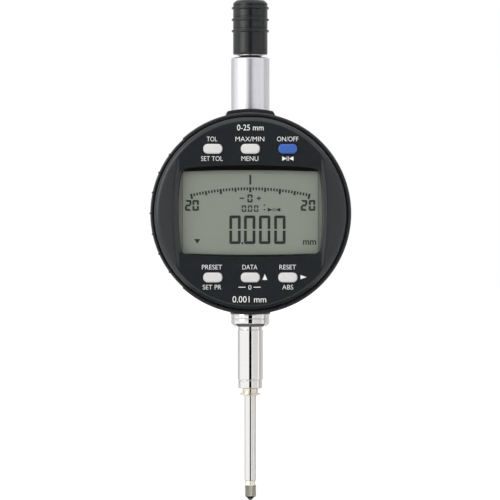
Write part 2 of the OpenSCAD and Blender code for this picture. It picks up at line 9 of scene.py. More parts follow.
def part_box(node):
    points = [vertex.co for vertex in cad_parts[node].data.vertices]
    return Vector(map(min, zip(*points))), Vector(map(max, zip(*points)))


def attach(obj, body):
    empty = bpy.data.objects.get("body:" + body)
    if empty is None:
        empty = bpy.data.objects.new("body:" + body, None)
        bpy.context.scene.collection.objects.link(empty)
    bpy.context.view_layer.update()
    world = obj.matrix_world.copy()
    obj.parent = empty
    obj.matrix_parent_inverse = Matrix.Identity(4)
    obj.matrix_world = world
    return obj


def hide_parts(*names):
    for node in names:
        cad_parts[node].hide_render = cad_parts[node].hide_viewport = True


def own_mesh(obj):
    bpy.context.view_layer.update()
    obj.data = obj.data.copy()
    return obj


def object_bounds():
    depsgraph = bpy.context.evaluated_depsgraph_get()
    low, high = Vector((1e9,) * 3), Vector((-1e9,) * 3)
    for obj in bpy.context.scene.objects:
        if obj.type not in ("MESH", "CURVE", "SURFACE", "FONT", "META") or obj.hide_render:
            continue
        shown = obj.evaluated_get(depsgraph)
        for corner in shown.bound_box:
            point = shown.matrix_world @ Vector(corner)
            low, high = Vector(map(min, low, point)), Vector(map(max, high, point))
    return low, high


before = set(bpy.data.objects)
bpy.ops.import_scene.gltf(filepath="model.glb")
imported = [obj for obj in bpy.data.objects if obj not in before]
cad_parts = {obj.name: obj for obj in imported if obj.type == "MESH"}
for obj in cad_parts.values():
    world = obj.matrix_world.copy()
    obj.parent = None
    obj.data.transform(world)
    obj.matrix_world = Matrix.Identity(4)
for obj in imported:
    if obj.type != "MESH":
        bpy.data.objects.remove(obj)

CAD_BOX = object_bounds()

# The shapes are in millimetres: x to the right, f forward to the display and z up, from the dial's
# centre. at() turns them into the frame's metres, and the stage is laid out in metres.
MM = 0.001
DIAL = sum(corner.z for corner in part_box("display_bezel")) / 2


class Reach:
    """The extent of a CAD node along x, f and z, and half its width."""

    def __init__(self, node):
        low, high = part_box(node)
        self.x = low.x / MM, high.x / MM
        self.f = -high.y / MM, -low.y / MM
        self.z = (low.z - DIAL) / MM, (high.z - DIAL) / MM
        self.r = (self.x[1] - self.x[0]) / 2


def at(x, f, z):
    """A point of the frame."""
    return Vector((x * MM, -f * MM, DIAL + z * MM))


# ---- Materials ---------------------------------------------------------------------------------


def linear(shade):
    """The linear colour of a web colour such as 2b2d30."""
    parts = [int(shade[i : i + 2], 16) / 255 for i in (0, 2, 4)]
    return [p / 12.92 if p < 0.04045 else ((p + 0.055) / 1.055) ** 2.4 for p in parts]


def look(name, shade, rough, metal=0.0, mottle=0.12, grain=2500, bump=0.1, stretch=(1, 1, 1), spread=0.05,
         **sockets):
    """A surface whose colour, roughness and fine relief vary; grain is its patches per metre."""
    material = bpy.data.materials.new(name)
    material.use_nodes = True
    nodes, links = material.node_tree.nodes, material.node_tree.links
    shader = nodes["Principled BSDF"]
    place = nodes.new("ShaderNodeTexCoord")
    scale = nodes.new("ShaderNodeMapping")
    scale.inputs["Scale"].default_value = stretch
    links.new(place.outputs["Object"], scale.inputs["Vector"])

    def noise(frequency, detail):
        made = nodes.new("ShaderNodeTexNoise")
        made.inputs["Scale"].default_value = frequency
        made.inputs["Detail"].default_value = detail
        links.new(scale.outputs["Vector"], made.inputs["Vector"])
        return made.outputs["Fac"]

    fine, broad = noise(grain, 3), noise(grain / 12, 4)
    mix = nodes.new("ShaderNodeMix")
    mix.data_type = "RGBA"
    base = linear(shade)
    mix.inputs["A"].default_value = [c * (1 - mottle) for c in base] + [1]
    mix.inputs["B"].default_value = [min(1, c * (1 + mottle)) for c in base] + [1]
    links.new(broad, mix.inputs["Factor"])
    links.new(mix.outputs["Result"], shader.inputs["Base Color"])
    span = nodes.new("ShaderNodeMapRange")
    span.inputs["To Min"].default_value = max(0.01, rough - spread)
    span.inputs["To Max"].default_value = rough + spread
    links.new(fine, span.inputs["Value"])
    links.new(span.outputs["Result"], shader.inputs["Roughness"])
    relief = nodes.new("ShaderNodeBump")
    relief.inputs["Strength"].default_value = bump
    relief.inputs["Distance"].default_value = 0.05 * MM
    links.new(fine, relief.inputs["Height"])
    links.new(relief.outputs["Normal"], shader.inputs["Normal"])
    shader.inputs["Metallic"].default_value = metal
    for socket, value in sockets.items():
        shader.inputs[socket.replace("_", " ")].default_value = value
    return material


TURNED = (0.03, 0.03, 1)
PLATED = (1, 0.03, 1)

housing_plastic = look("housing_plastic", "1d2023", 0.3, grain=3500, bump=0.12, Specular_IOR_Level=0.5)
face_plastic = look("face_plastic", "202426", 0.24, grain=4000, bump=0.06, Specular_IOR_Level=0.5)
# Near black for the window's recess walls, which are the face's own plastic: painted shade where the recess
# lies in shadow.
window_wall_painted_shade = look("window_wall_painted_shade", "0e0f0c", 0.3, grain=3000, bump=0.05, Specular_IOR_Level=0.1)
cover_plastic = look("cover_plastic", "1d1f21", 0.45, grain=2200, bump=0.4, Specular_IOR_Level=0.4)
cap_plastic = look("cap_plastic", "101214", 0.26, grain=3500, bump=0.08, Specular_IOR_Level=0.5)
inner_plastic = look("inner_plastic", "2c2e31", 0.5, grain=2600, bump=0.2)
light_plastic = look("light_plastic", "d5d6d2", 0.45, mottle=0.04)
key_plastic = look("key_plastic", "dedbdb", 0.42, mottle=0.03, grain=3000, bump=0.08)
key_plastic_blue = look("key_plastic_blue", "3a62b4", 0.42, mottle=0.06, grain=3000, bump=0.08)
satin_steel = look("satin_steel", "e2e1e6", 0.33, 1, mottle=0.03, grain=9000, bump=0.12, stretch=TURNED)
polished_steel = look("polished_steel", "e3e1df", 0.06, 1, mottle=0.02, grain=9000, bump=0.02,
                      stretch=TURNED,
                      spread=0.02)
dark_steel = look("dark_steel", "8d8c89", 0.3, 1, mottle=0.12, grain=4000, bump=0.15)
knurl_steel = look("knurl_steel", "fbf5ea", 0.26, 1, mottle=0.08, grain=6000, bump=0.05)
# A dark copy of the knurl's steel, put on the faces deep in its grooves as painted shade.
knurl_groove_painted_shade = look("knurl_groove_painted_shade", "2e2a22", 0.4, 1, mottle=0.15, grain=6000, bump=0.1)
black_steel = look("black_steel", "1c1a16", 0.3, 1, mottle=0.1, grain=6000, bump=0.05)
screw_steel = look("screw_steel", "b9babb", 0.28, 1, mottle=0.1, grain=5000, stretch=PLATED)
spring_steel = look("spring_steel", "c4c6c9", 0.22, 1, mottle=0.08, grain=5000)
bronze = look("bronze", "e6dccb", 0.14, 1, mottle=0.06, grain=7000, bump=0.08, stretch=TURNED)
contact_gold = look("contact_gold", "d9b866", 0.28, 1, mottle=0.06, grain=3000, stretch=PLATED)
light_alloy = look("light_alloy", "a7abae", 0.36, 1, mottle=0.06, grain=5000, stretch=(0.05, 1, 1))
rubber_black = look("rubber_black", "161616", 0.7, grain=2500, bump=0.3)
circuit_board = look("circuit_board", "1c6238", 0.36, mottle=0.2, grain=1400)
chip_black = look("chip_black", "17181a", 0.55, grain=4000, bump=0.3)
flex_amber = look("flex_amber", "b5722a", 0.3, mottle=0.12, grain=900)
scale_glass = look("scale_glass", "b9ab80", 0.12, mottle=0.1, grain=1200, bump=0.02)
lens_clear = look("lens_clear", "101210", 0.04, mottle=0.01, bump=0.0, spread=0.01, Alpha=0.03)
lcd_glass = look("lcd_glass", "92988d", 0.35, mottle=0.03, grain=5000, bump=0.04)
lcd_border = look("lcd_border", "848a7f", 0.35, mottle=0.04, grain=5000, bump=0.04)
lcd_ink = look("lcd_ink", "1b221c", 0.4, mottle=0.1, grain=4000, bump=0.05)
silicone_grey = look("silicone_grey", "6d7073", 0.6, grain=1800, bump=0.2)
white_ink = look("white_ink", "f4f4f4", 0.5, mottle=0.03, grain=6000, bump=0.05)


# ---- Mesh tools --------------------------------------------------------------------------------


def soften(corners, steps=4, closed=False):
    """A flat outline whose corners (a, b, radius) are turned into arcs; a plain (a, b) stays sharp."""
    out = []
    for i, corner in enumerate(corners):
        here = Vector(corner[:2])
        if len(corner) < 3 or (not closed and i in (0, len(corners) - 1)):
            out.append(tuple(here))
            continue
        back = Vector(corners[i - 1][:2]) - here
        ahead = Vector(corners[(i + 1) % len(corners)][:2]) - here
        half = back.angle(ahead) / 2
        length = min(corner[2] / math.tan(half), 0.49 * back.length, 0.49 * ahead.length)
        centre = here + (back.normalized() + ahead.normalized()).normalized() * (length / math.cos(half))
        first = here + back.normalized() * length - centre
        last = here + ahead.normalized() * length - centre
        sweep = first.angle(last)
        for k in range(steps + 1):
            share = sweep * k / steps
            turned = (first * math.sin(sweep - share) + last * math.sin(share)) / math.sin(sweep)
            out.append(tuple(centre + turned))
    return out


def lozenge(x, z, w, h, r, steps=8):
    """A rectangle with round corners, as a loop of (x, z)."""
    corners = [(w / 2, -h / 2), (w / 2, h / 2), (-w / 2, h / 2), (-w / 2, -h / 2)]
    return [(x + a, z + b) for a, b in soften([(*c, r) for c in corners], steps, closed=True)]


def circle(r, n=96, x=0.0, z=0.0, sides=None):
    """A loop of (x, z) round a point; with sides, its points lie on a polygon of that many sides."""
    out = []
    for k in range(n):
        a = 2 * math.pi * k / n
        grow = 1.0
        if sides:
            sector = 2 * math.pi / sides
            grow = math.cos(sector / 2) / math.cos(a % sector - sector / 2)
        out.append((x + r * grow * math.cos(a), z + r * grow * math.sin(a)))
    return out


class Build:
    """The points, faces and material numbers of one mesh."""

    def __init__(self):
        self.points, self.faces, self.shades = [], [], []

    def add(self, points):
        start = len(self.points)
        self.points += points
        return list(range(start, len(self.points)))

    def face(self, ids, shade=0):
        self.faces.append(tuple(ids))
        self.shades.append(shade)

    def bridge(self, a, b, shade=0, wrap=True):
        """Faces between two rows of points; a row of one point is a tip."""
        n = max(len(a), len(b))
        for i in range(n if wrap else n - 1):
            k = (i + 1) % n
            quad = [a[i % len(a)], a[k % len(a)], b[k % len(b)], b[i % len(b)]]
            self.face(dict.fromkeys(quad), shade)

    def loft(self, rings, shade=0, ends=True):
        """A skin over rings of points, with both ends closed."""
        rows = [self.add(ring) for ring in rings]
        for a, b in zip(rows, rows[1:]):
            self.bridge(a, b, shade)
        if ends:
            for row in (rows[0], rows[-1]):
                if len(row) > 2:
                    self.face(row, shade)
        return rows

    def stack(self, levels, shade=0, ends=True):
        """A loft over (loop of (x, z), f) pairs."""
        return self.loft([[(x, f, z) for x, z in loop] for loop, f in levels], shade, ends)

    def prism(self, loop, back, front, shade=0):
        self.stack([(loop, back), (loop, front)], shade)

    def box(self, x, f, z):
        self.prism([(x[0], z[0]), (x[1], z[0]), (x[1], z[1]), (x[0], z[1])], *f)

    def lathe(self, profile, axis="z", n=128, closed=False, spot=(0, 0), sides=None, shade=0):
        """A profile of (radius, height) turned about the plunger, or about the depth through spot."""
        rings = []
        for r, height in profile:
            loop = circle(r, n, sides=sides) if r > 1e-6 else [(0, 0)]
            if axis == "z":
                rings.append([(a, b, height) for a, b in loop])
            else:
                rings.append([(a + spot[0], height, b + spot[1]) for a, b in loop])
        rows = self.loft(rings, shade, ends=not closed)
        if closed:
            self.bridge(rows[-1], rows[0], shade)

    def mesh(self, name):
        made = bpy.data.meshes.new(name)
        made.from_pydata([at(*p) for p in self.points], [], self.faces)
        made.polygons.foreach_set("material_index", self.shades)
        work = bmesh.new()
        work.from_mesh(made)
        bmesh.ops.remove_doubles(work, verts=work.verts, dist=0.0002 * MM)
        bmesh.ops.recalc_face_normals(work, faces=work.faces)
        work.to_mesh(made)
        work.free()
        return made

    def thing(self, name, *looks):
        made = bpy.data.objects.new(name, self.mesh(name))
        bpy.context.scene.collection.objects.link(made)
        for material in looks:
            made.data.materials.append(material)
        return made


def carve(piece, operation, *tools):
    """Joins solids to the piece, or cuts them out of it."""
    for i, tool in enumerate(tools):
        cutter = tool.thing(f"tool_{i}")
        step = piece.modifiers.new("carve", "BOOLEAN")
        step.operation = operation
        step.solver = "EXACT"
        step.object = cutter
        bpy.context.view_layer.update()
        done = bpy.data.meshes.new_from_object(piece.evaluated_get(bpy.context.evaluated_depsgraph_get()))
        piece.modifiers.clear()
        piece.data = done
        bpy.data.objects.remove(cutter)


def place(piece, body, finish=None, replacing=True, sharp=30):
    """Smooths a piece, sets its body, and hides the CAD node of its name, which it stands for."""
    piece.data.shade_smooth()
    piece.data.set_sharp_from_angle(angle=math.radians(sharp))
    weights = piece.modifiers.new("weights", "WEIGHTED_NORMAL")
    weights.keep_sharp = True
    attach(piece, body)
    if replacing:
        node = piece.name.split(".")[0]
        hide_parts(node)
        piece.name = f"{node}_shape"
    return piece


def turned_piece(node, body, material, profile, steps=4, closed=True, n=128):
    """A piece that is one softened profile turned about the plunger."""
    build = Build()
    build.lathe(soften(profile, steps, closed), n=n, closed=closed)
    return place(build.thing(node, material), body, material.name)


# ---- Housing -----------------------------------------------------------------------------------

drum = Reach("housing_shell")
cover_back = Reach("rear_cover")
collar = Reach("stem_collar")
sleeve = Reach("top_sleeve")
side = Reach("side_cover")
tray = Reach("battery_tray")
socket = Reach("data_socket")
bezel = Reach("display_bezel")
nut = Reach("stem_lock_nut")
stem = Reach("clamping_stem")

HOUSING_R = drum.r
COVER_R = HOUSING_R - 0.3
RECESS_R = COVER_R - 1.15
WALL_R = HOUSING_R - 2.7
RIM_BORE_R = 30.1
BULKHEAD = (4.3, 6.7)
HUB_R = 9.06
BOSS_TOP_R = drum.z[1]
BOSS_FRONT = 10.5
BOSS_FOOT = math.degrees(math.asin(8 / HOUSING_R))
BOSS_EDGE = math.degrees(math.asin(6.9 / BOSS_TOP_R))
BAND_HALF = 23.2
RECESS_SPAN = 48.6
TRACK_SPAN = 138.4
SLIP = 0.1
PILOT_R = 1.05
SLEEVE_THREAD_R = 5.2
SLEEVE_SEAT = 3.9
NUT_POCKET_R = 5.97
REAR_HEAD_R, FRAME_HEAD_R, PLATE_HEAD_R, BOARD_HEAD_R = 1.95, 1.9, 1.45, 1.5
RIBS = [180 + 12 * i for i in range(-3, 4)]
RIB_HALF = 0.52


def ease(t):
    t = min(1.0, max(0.0, t))
    return t * t * (3 - 2 * t)


def rib_height(angle):
    """1 on the crest of a grip rib, 0 between the ribs."""
    away = min(abs(angle - rib) for rib in RIBS)
    return 1 - ease((away - 0.3 * RIB_HALF) / RIB_HALF)


def drum_r(angle, boss):
    """The drum's outer radius: the lowered band with its ribs on the left and the boss at the top."""
    z = HOUSING_R * math.sin(math.radians(angle))
    r = HOUSING_R
    if 90 < angle < 270:
        band = ease((BAND_HALF - abs(z)) / 0.2 + 0.5)
        r -= (HOUSING_R - COVER_R) * band * (1 - 0.93 * rib_height(angle))
    if boss:
        share = (BOSS_FOOT - abs(angle - 90)) / (BOSS_FOOT - BOSS_EDGE)
        r += (BOSS_TOP_R - HOUSING_R) * ease(share)
    return r


def drum_angles():
    """Degrees round the drum, closer together at the ribs, the band's ends and the boss."""
    marks = {float(a) for a in range(360)}
    for rib in RIBS:
        marks |= {round(rib + RIB_HALF * k / 4, 3) for k in range(-7, 8)}
    end = math.degrees(math.asin(BAND_HALF / HOUSING_R))
    for edge in (180 - end, 180 + end):
        marks |= {round(edge + 0.08 * k, 3) for k in range(-5, 6)}
    for edge in (90 - BOSS_FOOT, 90 + BOSS_FOOT, 90 - BOSS_EDGE, 90 + BOSS_EDGE):
        marks |= {round(edge + 0.35 * k, 3) for k in range(-4, 5)}
    ordered = sorted(marks)
    return [a for a, b in zip(ordered, ordered[1:] + [360.0]) if b - a > 0.04]


def polar(r, f, angle):
    a = math.radians(angle)
    return r * math.cos(a), f, r * math.sin(a)


def housing_section(angle):
    """The wall of the drum cut at one angle, as (radius, depth)."""
    outer, rim = drum_r(angle, True), drum_r(angle, False)
    back, front = cover_back.f[1], drum.f[1]
    return soften([
        (outer, back, 0.15), (outer, BOSS_FRONT, 0.3), (rim - 0.002, BOSS_FRONT + 0.02), (rim, front, 0.55),
        (RIM_BORE_R, front, 0.2), (RIM_BORE_R, BULKHEAD[1]), (HUB_R, BULKHEAD[1]), (HUB_R, BULKHEAD[0]),
        (WALL_R, BULKHEAD[0]), (WALL_R, back),
    ], 5, closed=True)


def round_bar(r, low, high):
    build = Build()
    build.lathe([(0, low), (r, low), (r, high), (0, high)])
    return build


def post(spot, r, back, front, sides=None):
    build = Build()
    build.lathe([(0, back), (r, back), (r, front), (0, front)], "f", 48, spot=spot, sides=sides)
    return build


def box(x, f, z):
    build = Build()
    build.box(x, f, z)
    return build


def arc_plate(inner, outer, start, end, back, front):
    """A flat plate along an arc, between two radii and two angles in degrees."""
    angles = [start + (end - start) * k / 90 for k in range(91)]
    loop = [polar(outer, 0, a) for a in angles] + [polar(inner, 0, a) for a in reversed(angles)]
    build = Build()
    build.prism([(p[0], p[2]) for p in loop], back, front)
    return build


def with_slip(span):
    """A span with room at both ends for what slides in it."""
    return span[0] - SLIP, span[1] + SLIP


def spots(node, half):
    """The four places of a group of screws, from the corners of its box."""
    group = Reach(node)
    xs = group.x[0] + half, group.x[1] - half
    zs = group.z[0] + half, group.z[1] - half
    return [(x, z) for x in xs for z in zs]


REAR_SCREWS = spots("rear_cover_screws", REAR_HEAD_R)
FRAME_SCREWS = [(-6, -22.5), (13, -15.5), (13, 15.5), (-6, 22.5)]
POST_R = 2.3


def make_housing():
    build = Build()
    rows = [build.add([polar(r, f, a) for r, f in housing_section(a)]) for a in drum_angles()]
    for a, b in zip(rows, rows[1:] + rows[:1]):
        build.bridge(a, b)
    shell = build.thing("housing_shell", housing_plastic)
    back = cover_back.f[1]
    pads = [round_bar(6.3, collar.z[1], nut.z[0]), round_bar(7.6, sleeve.z[0], sleeve.z[0] + 2)]
    pads += [post(s, POST_R, back + 0.01, BULKHEAD[0] + 0.1) for s in REAR_SCREWS]
    pads += [post(s, POST_R, -5.3, BULKHEAD[0] + 0.1) for s in FRAME_SCREWS]
    carve(shell, "UNION", *pads)
    pin = Reach("stop_pin")
    track = (pin.z[0] - 0.2, pin.z[1] + 0.2)
    through_wall = (-HOUSING_R, -20)
    holes = [
        round_bar(SLEEVE_THREAD_R + 0.02, sleeve.z[0] - 1, sleeve.z[0] + 6),
        round_bar(sleeve.r + 0.03, sleeve.z[0] + SLEEVE_SEAT, 36),
        round_bar(stem.r + 0.02, collar.z[1] - 1, nut.z[0] + 1),
        round_bar(NUT_POCKET_R, nut.z[0], nut.z[1] + 0.5),
        arc_plate(RECESS_R, 33, 180 - RECESS_SPAN, 180 + RECESS_SPAN, *with_slip(side.f)),
        box(through_wall, with_slip(tray.f), with_slip(tray.z)),
        box(through_wall, with_slip(socket.f), with_slip(socket.z)),
        arc_plate(*track, 90 - TRACK_SPAN, 90 + TRACK_SPAN, pin.f[0] - 0.3, BULKHEAD[1] + 1),
    ]
    holes += [post(s, PILOT_R, back - 1, back + 7.5) for s in REAR_SCREWS]
    holes += [post(s, PILOT_R, -6.3, 0.7) for s in FRAME_SCREWS]
    carve(shell, "DIFFERENCE", *holes)
    return place(shell, "housing", "housing_plastic")


def make_side_cover():
    """The ribbed band over the battery drawer."""
    build = Build()
    end = math.degrees(math.asin(side.z[1] / COVER_R))
    angles = [a for a in drum_angles() if 180 - end < a < 180 + end]
    angles = [180 - end] + angles + [180 + end]
    rows = []
    for a in angles:
        r = COVER_R + (HOUSING_R - COVER_R) * 0.93 * rib_height(a)
        inner_r = RECESS_R + 0.05
        corners = [(r, side.f[0], 0.2), (r, side.f[1], 0.2), (inner_r, side.f[1]), (inner_r, side.f[0])]
        rows.append(build.add([polar(rr, f, a) for rr, f in soften(corners, 4, closed=True)]))
    for a, b in zip(rows, rows[1:]):
        build.bridge(a, b)
    build.face(rows[0])
    build.face(rows[-1])
    return place(build.thing("side_cover", cover_plastic), "battery_drawer", "cover_plastic")


def make_rear_cover():
    """The rear cover, with a shallow ring groove and four screw seats."""
    build = Build()
    back, joint = cover_back.f
    ring_inner, ring_outer, ring_deep = 23.6, 24.6, 0.3
    build.lathe(soften([
        (0, joint), (cover_back.r, joint, 0.1), (cover_back.r, back, 1.0),
        (ring_outer, back, 0.1), (ring_outer - 0.2, back + ring_deep, 0.1),
        (ring_inner + 0.2, back + ring_deep, 0.1), (ring_inner, back, 0.1), (0, back),
    ], 5), "f", 192)
    cover = build.thing("rear_cover", cover_plastic)
    seats = [post(s, 2.1, back - 1, joint - 0.8) for s in REAR_SCREWS]
    carve(cover, "DIFFERENCE", *seats, *[post(s, 1.15, back - 1, joint + 1) for s in REAR_SCREWS])
    return place(cover, "housing", "cover_plastic")


def make_screws(node, body, where, head_r, shank_r, key_r, seat, head, tip, n=48):
    """Screws along the depth: seat, head and tip are the depths of the seat, the head's top and the tip."""
    build = Build()
    way = 1 if head > seat else -1
    for spot in where:
        levels = [(shank_r - 0.3, tip), (shank_r, tip + 0.3 * way), (shank_r, seat), (head_r - 0.08, seat),
                  (head_r, seat + 0.08 * way), (head_r, head - 0.22 * way),
                  (head_r - 0.07, head - 0.07 * way), (head_r - 0.22, head)]
        rings = [circle(r, n) for r, _ in levels] + [circle(key_r, n, sides=6)] * 2
        depths = [f for _, f in levels] + [head, head - 0.5 * (head - seat)]
        build.stack([([(x + spot[0], z + spot[1]) for x, z in ring], f) for ring, f in zip(rings, depths)])
    return place(build.thing(node, screw_steel), body, "screw_steel")


# ---- Display face ------------------------------------------------------------------------------

FACE = 15.3
DOME_R = 250.0
FLAT_HALF = 22.1
WING_END = 18.3
WING_SLOPE = math.tan(math.radians(16))
DOME_TOP = FACE + (FLAT_HALF**2 + WING_END**2) / (2 * DOME_R)
LENS_FRONT = Reach("window_lens").f[1]
PLATE_BACK = Reach("window_lens").f[0]
PLATE_R = 28.2
SKIRT_BACK = bezel.f[0]
SKIRT_INNER = bezel.r - 2.2
PITCH = 11.6
ROW = 19.9
BUTTON_W, BUTTON_H = 5.9, 3.05
COLUMNS = {
    "tolerance": (-1, 1), "menu": (0, 1), "power": (1, 1),
    "preset": (-1, -1), "data": (0, -1), "reset": (1, -1),
}
LOOP = 160


def blend_low(a, b, width):
    """The lower of two heights, with a soft change between them."""
    share = max(width - abs(a - b), 0) / width
    return min(a, b) - share * share * width / 4


def face_height(x, z):
    """The face: flat in the middle, with two wings that follow a dome."""
    dome = DOME_TOP - (x * x + z * z) / (2 * DOME_R)
    rise = -blend_low(0, -(abs(x) - FLAT_HALF) * WING_SLOPE, 0.1)
    return blend_low(dome, FACE + rise, 0.06)


def barrel(half, side_bow, top, top_bow, low, low_bow, grow=0.0):
    """An outline with bowed sides, top and bottom, which starts at its lower right corner."""
    half, top, low = half + grow, top + grow, low - grow
    edge, high, deep = half - side_bow, top - top_bow, low + low_bow
    shares = [2 * i / (LOOP // 4) - 1 for i in range(LOOP // 4)]
    middle, reach = (high + deep) / 2, (high - deep) / 2
    right = [(half - side_bow * t * t, middle + reach * t) for t in shares]
    upper = [(-edge * t, top - top_bow * t * t) for t in shares]
    left = [(side_bow * t * t - half, middle - reach * t) for t in shares]
    lower = [(edge * t, low + low_bow * t * t) for t in shares]
    return right + upper + left + lower


def ease_corners(loop, reach=3, passes=6):
    """Rounds the four corners of a barrel outline."""
    loop = [Vector(p) for p in loop]
    for _ in range(passes):
        for corner in range(0, LOOP, LOOP // 4):
            for i in range(corner - reach, corner + reach + 1):
                loop[i % LOOP] = (loop[i - 1] + 2 * loop[i % LOOP] + loop[(i + 1) % LOOP]) / 4
    return [tuple(p) for p in loop]


def inside(loop, x, z):
    """Whether a point lies in a loop."""
    xs, zs = [p[0] for p in loop], [p[1] for p in loop]
    if not (min(xs) < x < max(xs) and min(zs) < z < max(zs)):
        return False
    odd = False
    for (xa, za), (xb, zb) in zip(loop, loop[1:] + loop[:1]):
        if (za > z) != (zb > z) and x < (xb - xa) * (z - za) / (zb - za) + xa:
            odd = not odd
    return odd


def sheet(build, loops, inner, height):
    """A surface inside the first loop and outside the others, at height(x, z); gives each loop's points."""
    flat, edges, starts = [], [], []
    for loop in loops:
        start = len(flat)
        starts.append(start)
        flat += [Vector(p) for p in loop]
        edges += [(start + i, start + (i + 1) % len(loop)) for i in range(len(loop))]
    flat += [Vector(p) for p in inner]
    points, _, triangles, origin, _, _ = delaunay_2d_cdt(flat, edges, [], 0, 1e-6)
    ids = build.add([(p.x, height(p.x, p.y), p.y) for p in points])
    for tri in triangles:
        x, z = (sum(points[i][k] for i in tri) / 3 for k in (0, 1))
        if inside(loops[0], x, z) and not any(inside(loop, x, z) for loop in loops[1:]):
            build.face([ids[i] for i in tri])
    place_of = {given: ids[i] for i, sources in enumerate(origin) for given in sources}
    return [[place_of[start + i] for i in range(len(loop))] for start, loop in zip(starts, loops)]


WINDOW_AT_FACE = (22.35, 0.9, 14.85, 0.95, -13.6, 0.8)
WINDOW_AT_LENS = (22.3, 0.95, 13.33, 0.45, -12.88, 0.5)
POCKET = (22.7, 0, 14.45, 0, -14.15, 0)


def button_loop(col, row, grow):
    return lozenge(col * PITCH, row * ROW, BUTTON_W + grow, BUTTON_H + grow, BUTTON_H / 2 - 0.15 + grow / 2)


def face_grid():
    """Points inside the face, closer together where the wings rise, clear of its openings."""
    xs = [-27.2 + 0.8 * i for i in range(69)]
    xs += [side * (21.3 + 0.16 * i) for side in (-1, 1) for i in range(24)]
    half, bow, top, _, low, _ = WINDOW_AT_FACE
    out = []
    for z in [-27.0 + 0.6 * i for i in range(91)]:
        for x in xs:
            if math.hypot(x, z) > PLATE_R - 0.3:
                continue
            if low - 0.5 < z < top + 0.5 and abs(x) < half - bow * (z / top) ** 2 + 0.3:
                continue
            if any(abs(x - c * PITCH) < BUTTON_W / 2 + 0.5 and abs(z - r * ROW) < BUTTON_H / 2 + 0.5
                   for c, r in COLUMNS.values()):
                continue
            out.append((x, z))
    return out


def make_display_bezel():
    build = Build()
    window = ease_corners(barrel(*WINDOW_AT_FACE, grow=0.12))
    keys = list(COLUMNS.values())
    top_loops = [circle(PLATE_R, 256), window] + [button_loop(*k, 0.46) for k in keys]
    low_loops = [circle(SKIRT_INNER, 256), barrel(*POCKET)] + [button_loop(*k, 0.24) for k in keys]
    top = sheet(build, top_loops, face_grid(), face_height)
    low = sheet(build, low_loops, [], lambda x, z: PLATE_BACK)

    def chain(first, last, levels, shade=0):
        """Joins a loop of the face to one of the underside over the levels between them."""
        rows = [first] + [build.add([(x, depth(x, z), z) for x, z in loop]) for loop, depth in levels]
        for i, (a, b) in enumerate(zip(rows, rows[1:] + [last])):
            build.bridge(a, b, shade if i > 0 else 0)

    def below_face(drop):
        return lambda x, z: face_height(x, z) - drop

    def level(f):
        return lambda x, z: f

    edge = face_height(PLATE_R, 0)
    width, fall = bezel.r - PLATE_R, 0.95
    last = math.radians(52)
    turns = [last * k / 7 for k in range(1, 8)]
    rim = [(PLATE_R + width * math.sin(t) / math.sin(last),
            edge - 0.1 * math.sin(t) - fall * (1 - math.cos(t)) / (1 - math.cos(last))) for t in turns]
    rim += soften([(bezel.r, rim[-1][1] - 1), (bezel.r, SKIRT_BACK, 0.2), (SKIRT_INNER, SKIRT_BACK, 0.2),
                   (SKIRT_INNER, SKIRT_BACK + 1)])
    chain(top[0], low[0], [(circle(r, 256), level(f)) for r, f in rim])
    # The window's walls take the second material, the near-black one: painted shade in the recess.
    chain(top[1], low[1], [
        (ease_corners(barrel(*WINDOW_AT_FACE, grow=0.04)), below_face(0.03)),
        (ease_corners(barrel(*WINDOW_AT_FACE)), below_face(0.12)),
        (barrel(*WINDOW_AT_LENS), level(LENS_FRONT)),
        (barrel(*POCKET), level(LENS_FRONT)),
    ], shade=1)
    for key, a, b in zip(keys, top[2:], low[2:]):
        chain(a, b, [(button_loop(*key, 0.32), below_face(0.05)),
                     (button_loop(*key, 0.24), below_face(0.17))])
    face = build.thing("display_bezel", face_plastic, window_wall_painted_shade)
    screws = spots("back_plate_screws", PLATE_HEAD_R)
    carve(face, "UNION", *[post(s, POST_R - 0.1, SKIRT_BACK, PLATE_BACK + 0.3) for s in screws])
    carve(face, "DIFFERENCE", *[post(s, 1.02, SKIRT_BACK - 1, SKIRT_BACK + 3.6) for s in screws])
    return place(face, "display", "face_plastic", sharp=32)


def make_buttons():
    flange = Reach("button_menu").f[0], PLATE_BACK - 0.1
    edge = [(0.0, 0.28), (0.03, 0.42), (0.1, 0.53), (0.22, 0.62), (0.38, 0.67), (0.7, 0.7)]
    for key, (col, row) in COLUMNS.items():
        build = Build()
        wide, slim = button_loop(col, row, 1.1), button_loop(col, row, 0)
        levels = [(wide, flange[0]), (wide, flange[1]), (slim, flange[1])]
        levels += [(button_loop(col, row, -2 * inset), FACE + rise) for inset, rise in edge]
        build.stack(levels)
        material = key_plastic_blue if key == "power" else key_plastic
        name = f"button_{key}"
        place(build.thing(name, material), f"{key}_button", material.name)


# ---- Printing ----------------------------------------------------------------------------------


def glyphs(build, text, x, z, width, tall, back, front, gauge="H", weight=0.0, shade=0):
    """Plates in the shape of a text, centred at x, with the gauge letter tall high."""

    def shape(words):
        curve = bpy.data.curves.new("glyphs", "FONT")
        curve.body = words
        curve.extrude = 0.5
        curve.offset = weight
        curve.resolution_u = 4
        thing = bpy.data.objects.new("glyphs", curve)
        bpy.context.scene.collection.objects.link(thing)
        bpy.context.view_layer.update()
        made = thing.evaluated_get(bpy.context.evaluated_depsgraph_get()).to_mesh()
        found = [tuple(v.co) for v in made.vertices], [tuple(p.vertices) for p in made.polygons]
        bpy.data.objects.remove(thing)
        bpy.data.curves.remove(curve)
        return found

    points, faces = shape(text)
    marks = [p[1] for p in shape(gauge)[0]]
    xs = [p[0] for p in points]
    wide, high, foot = max(xs) - min(xs), max(marks) - min(marks), min(marks)
    ids = build.add([
        (x + (p[0] - (max(xs) + min(xs)) / 2) * width / wide, back + (p[2] + 0.5) * (front - back),
         z + ((p[1] - foot) / high - 0.5) * tall)
        for p in points
    ])
    for face in faces:
        build.face([ids[i] for i in face], shade)


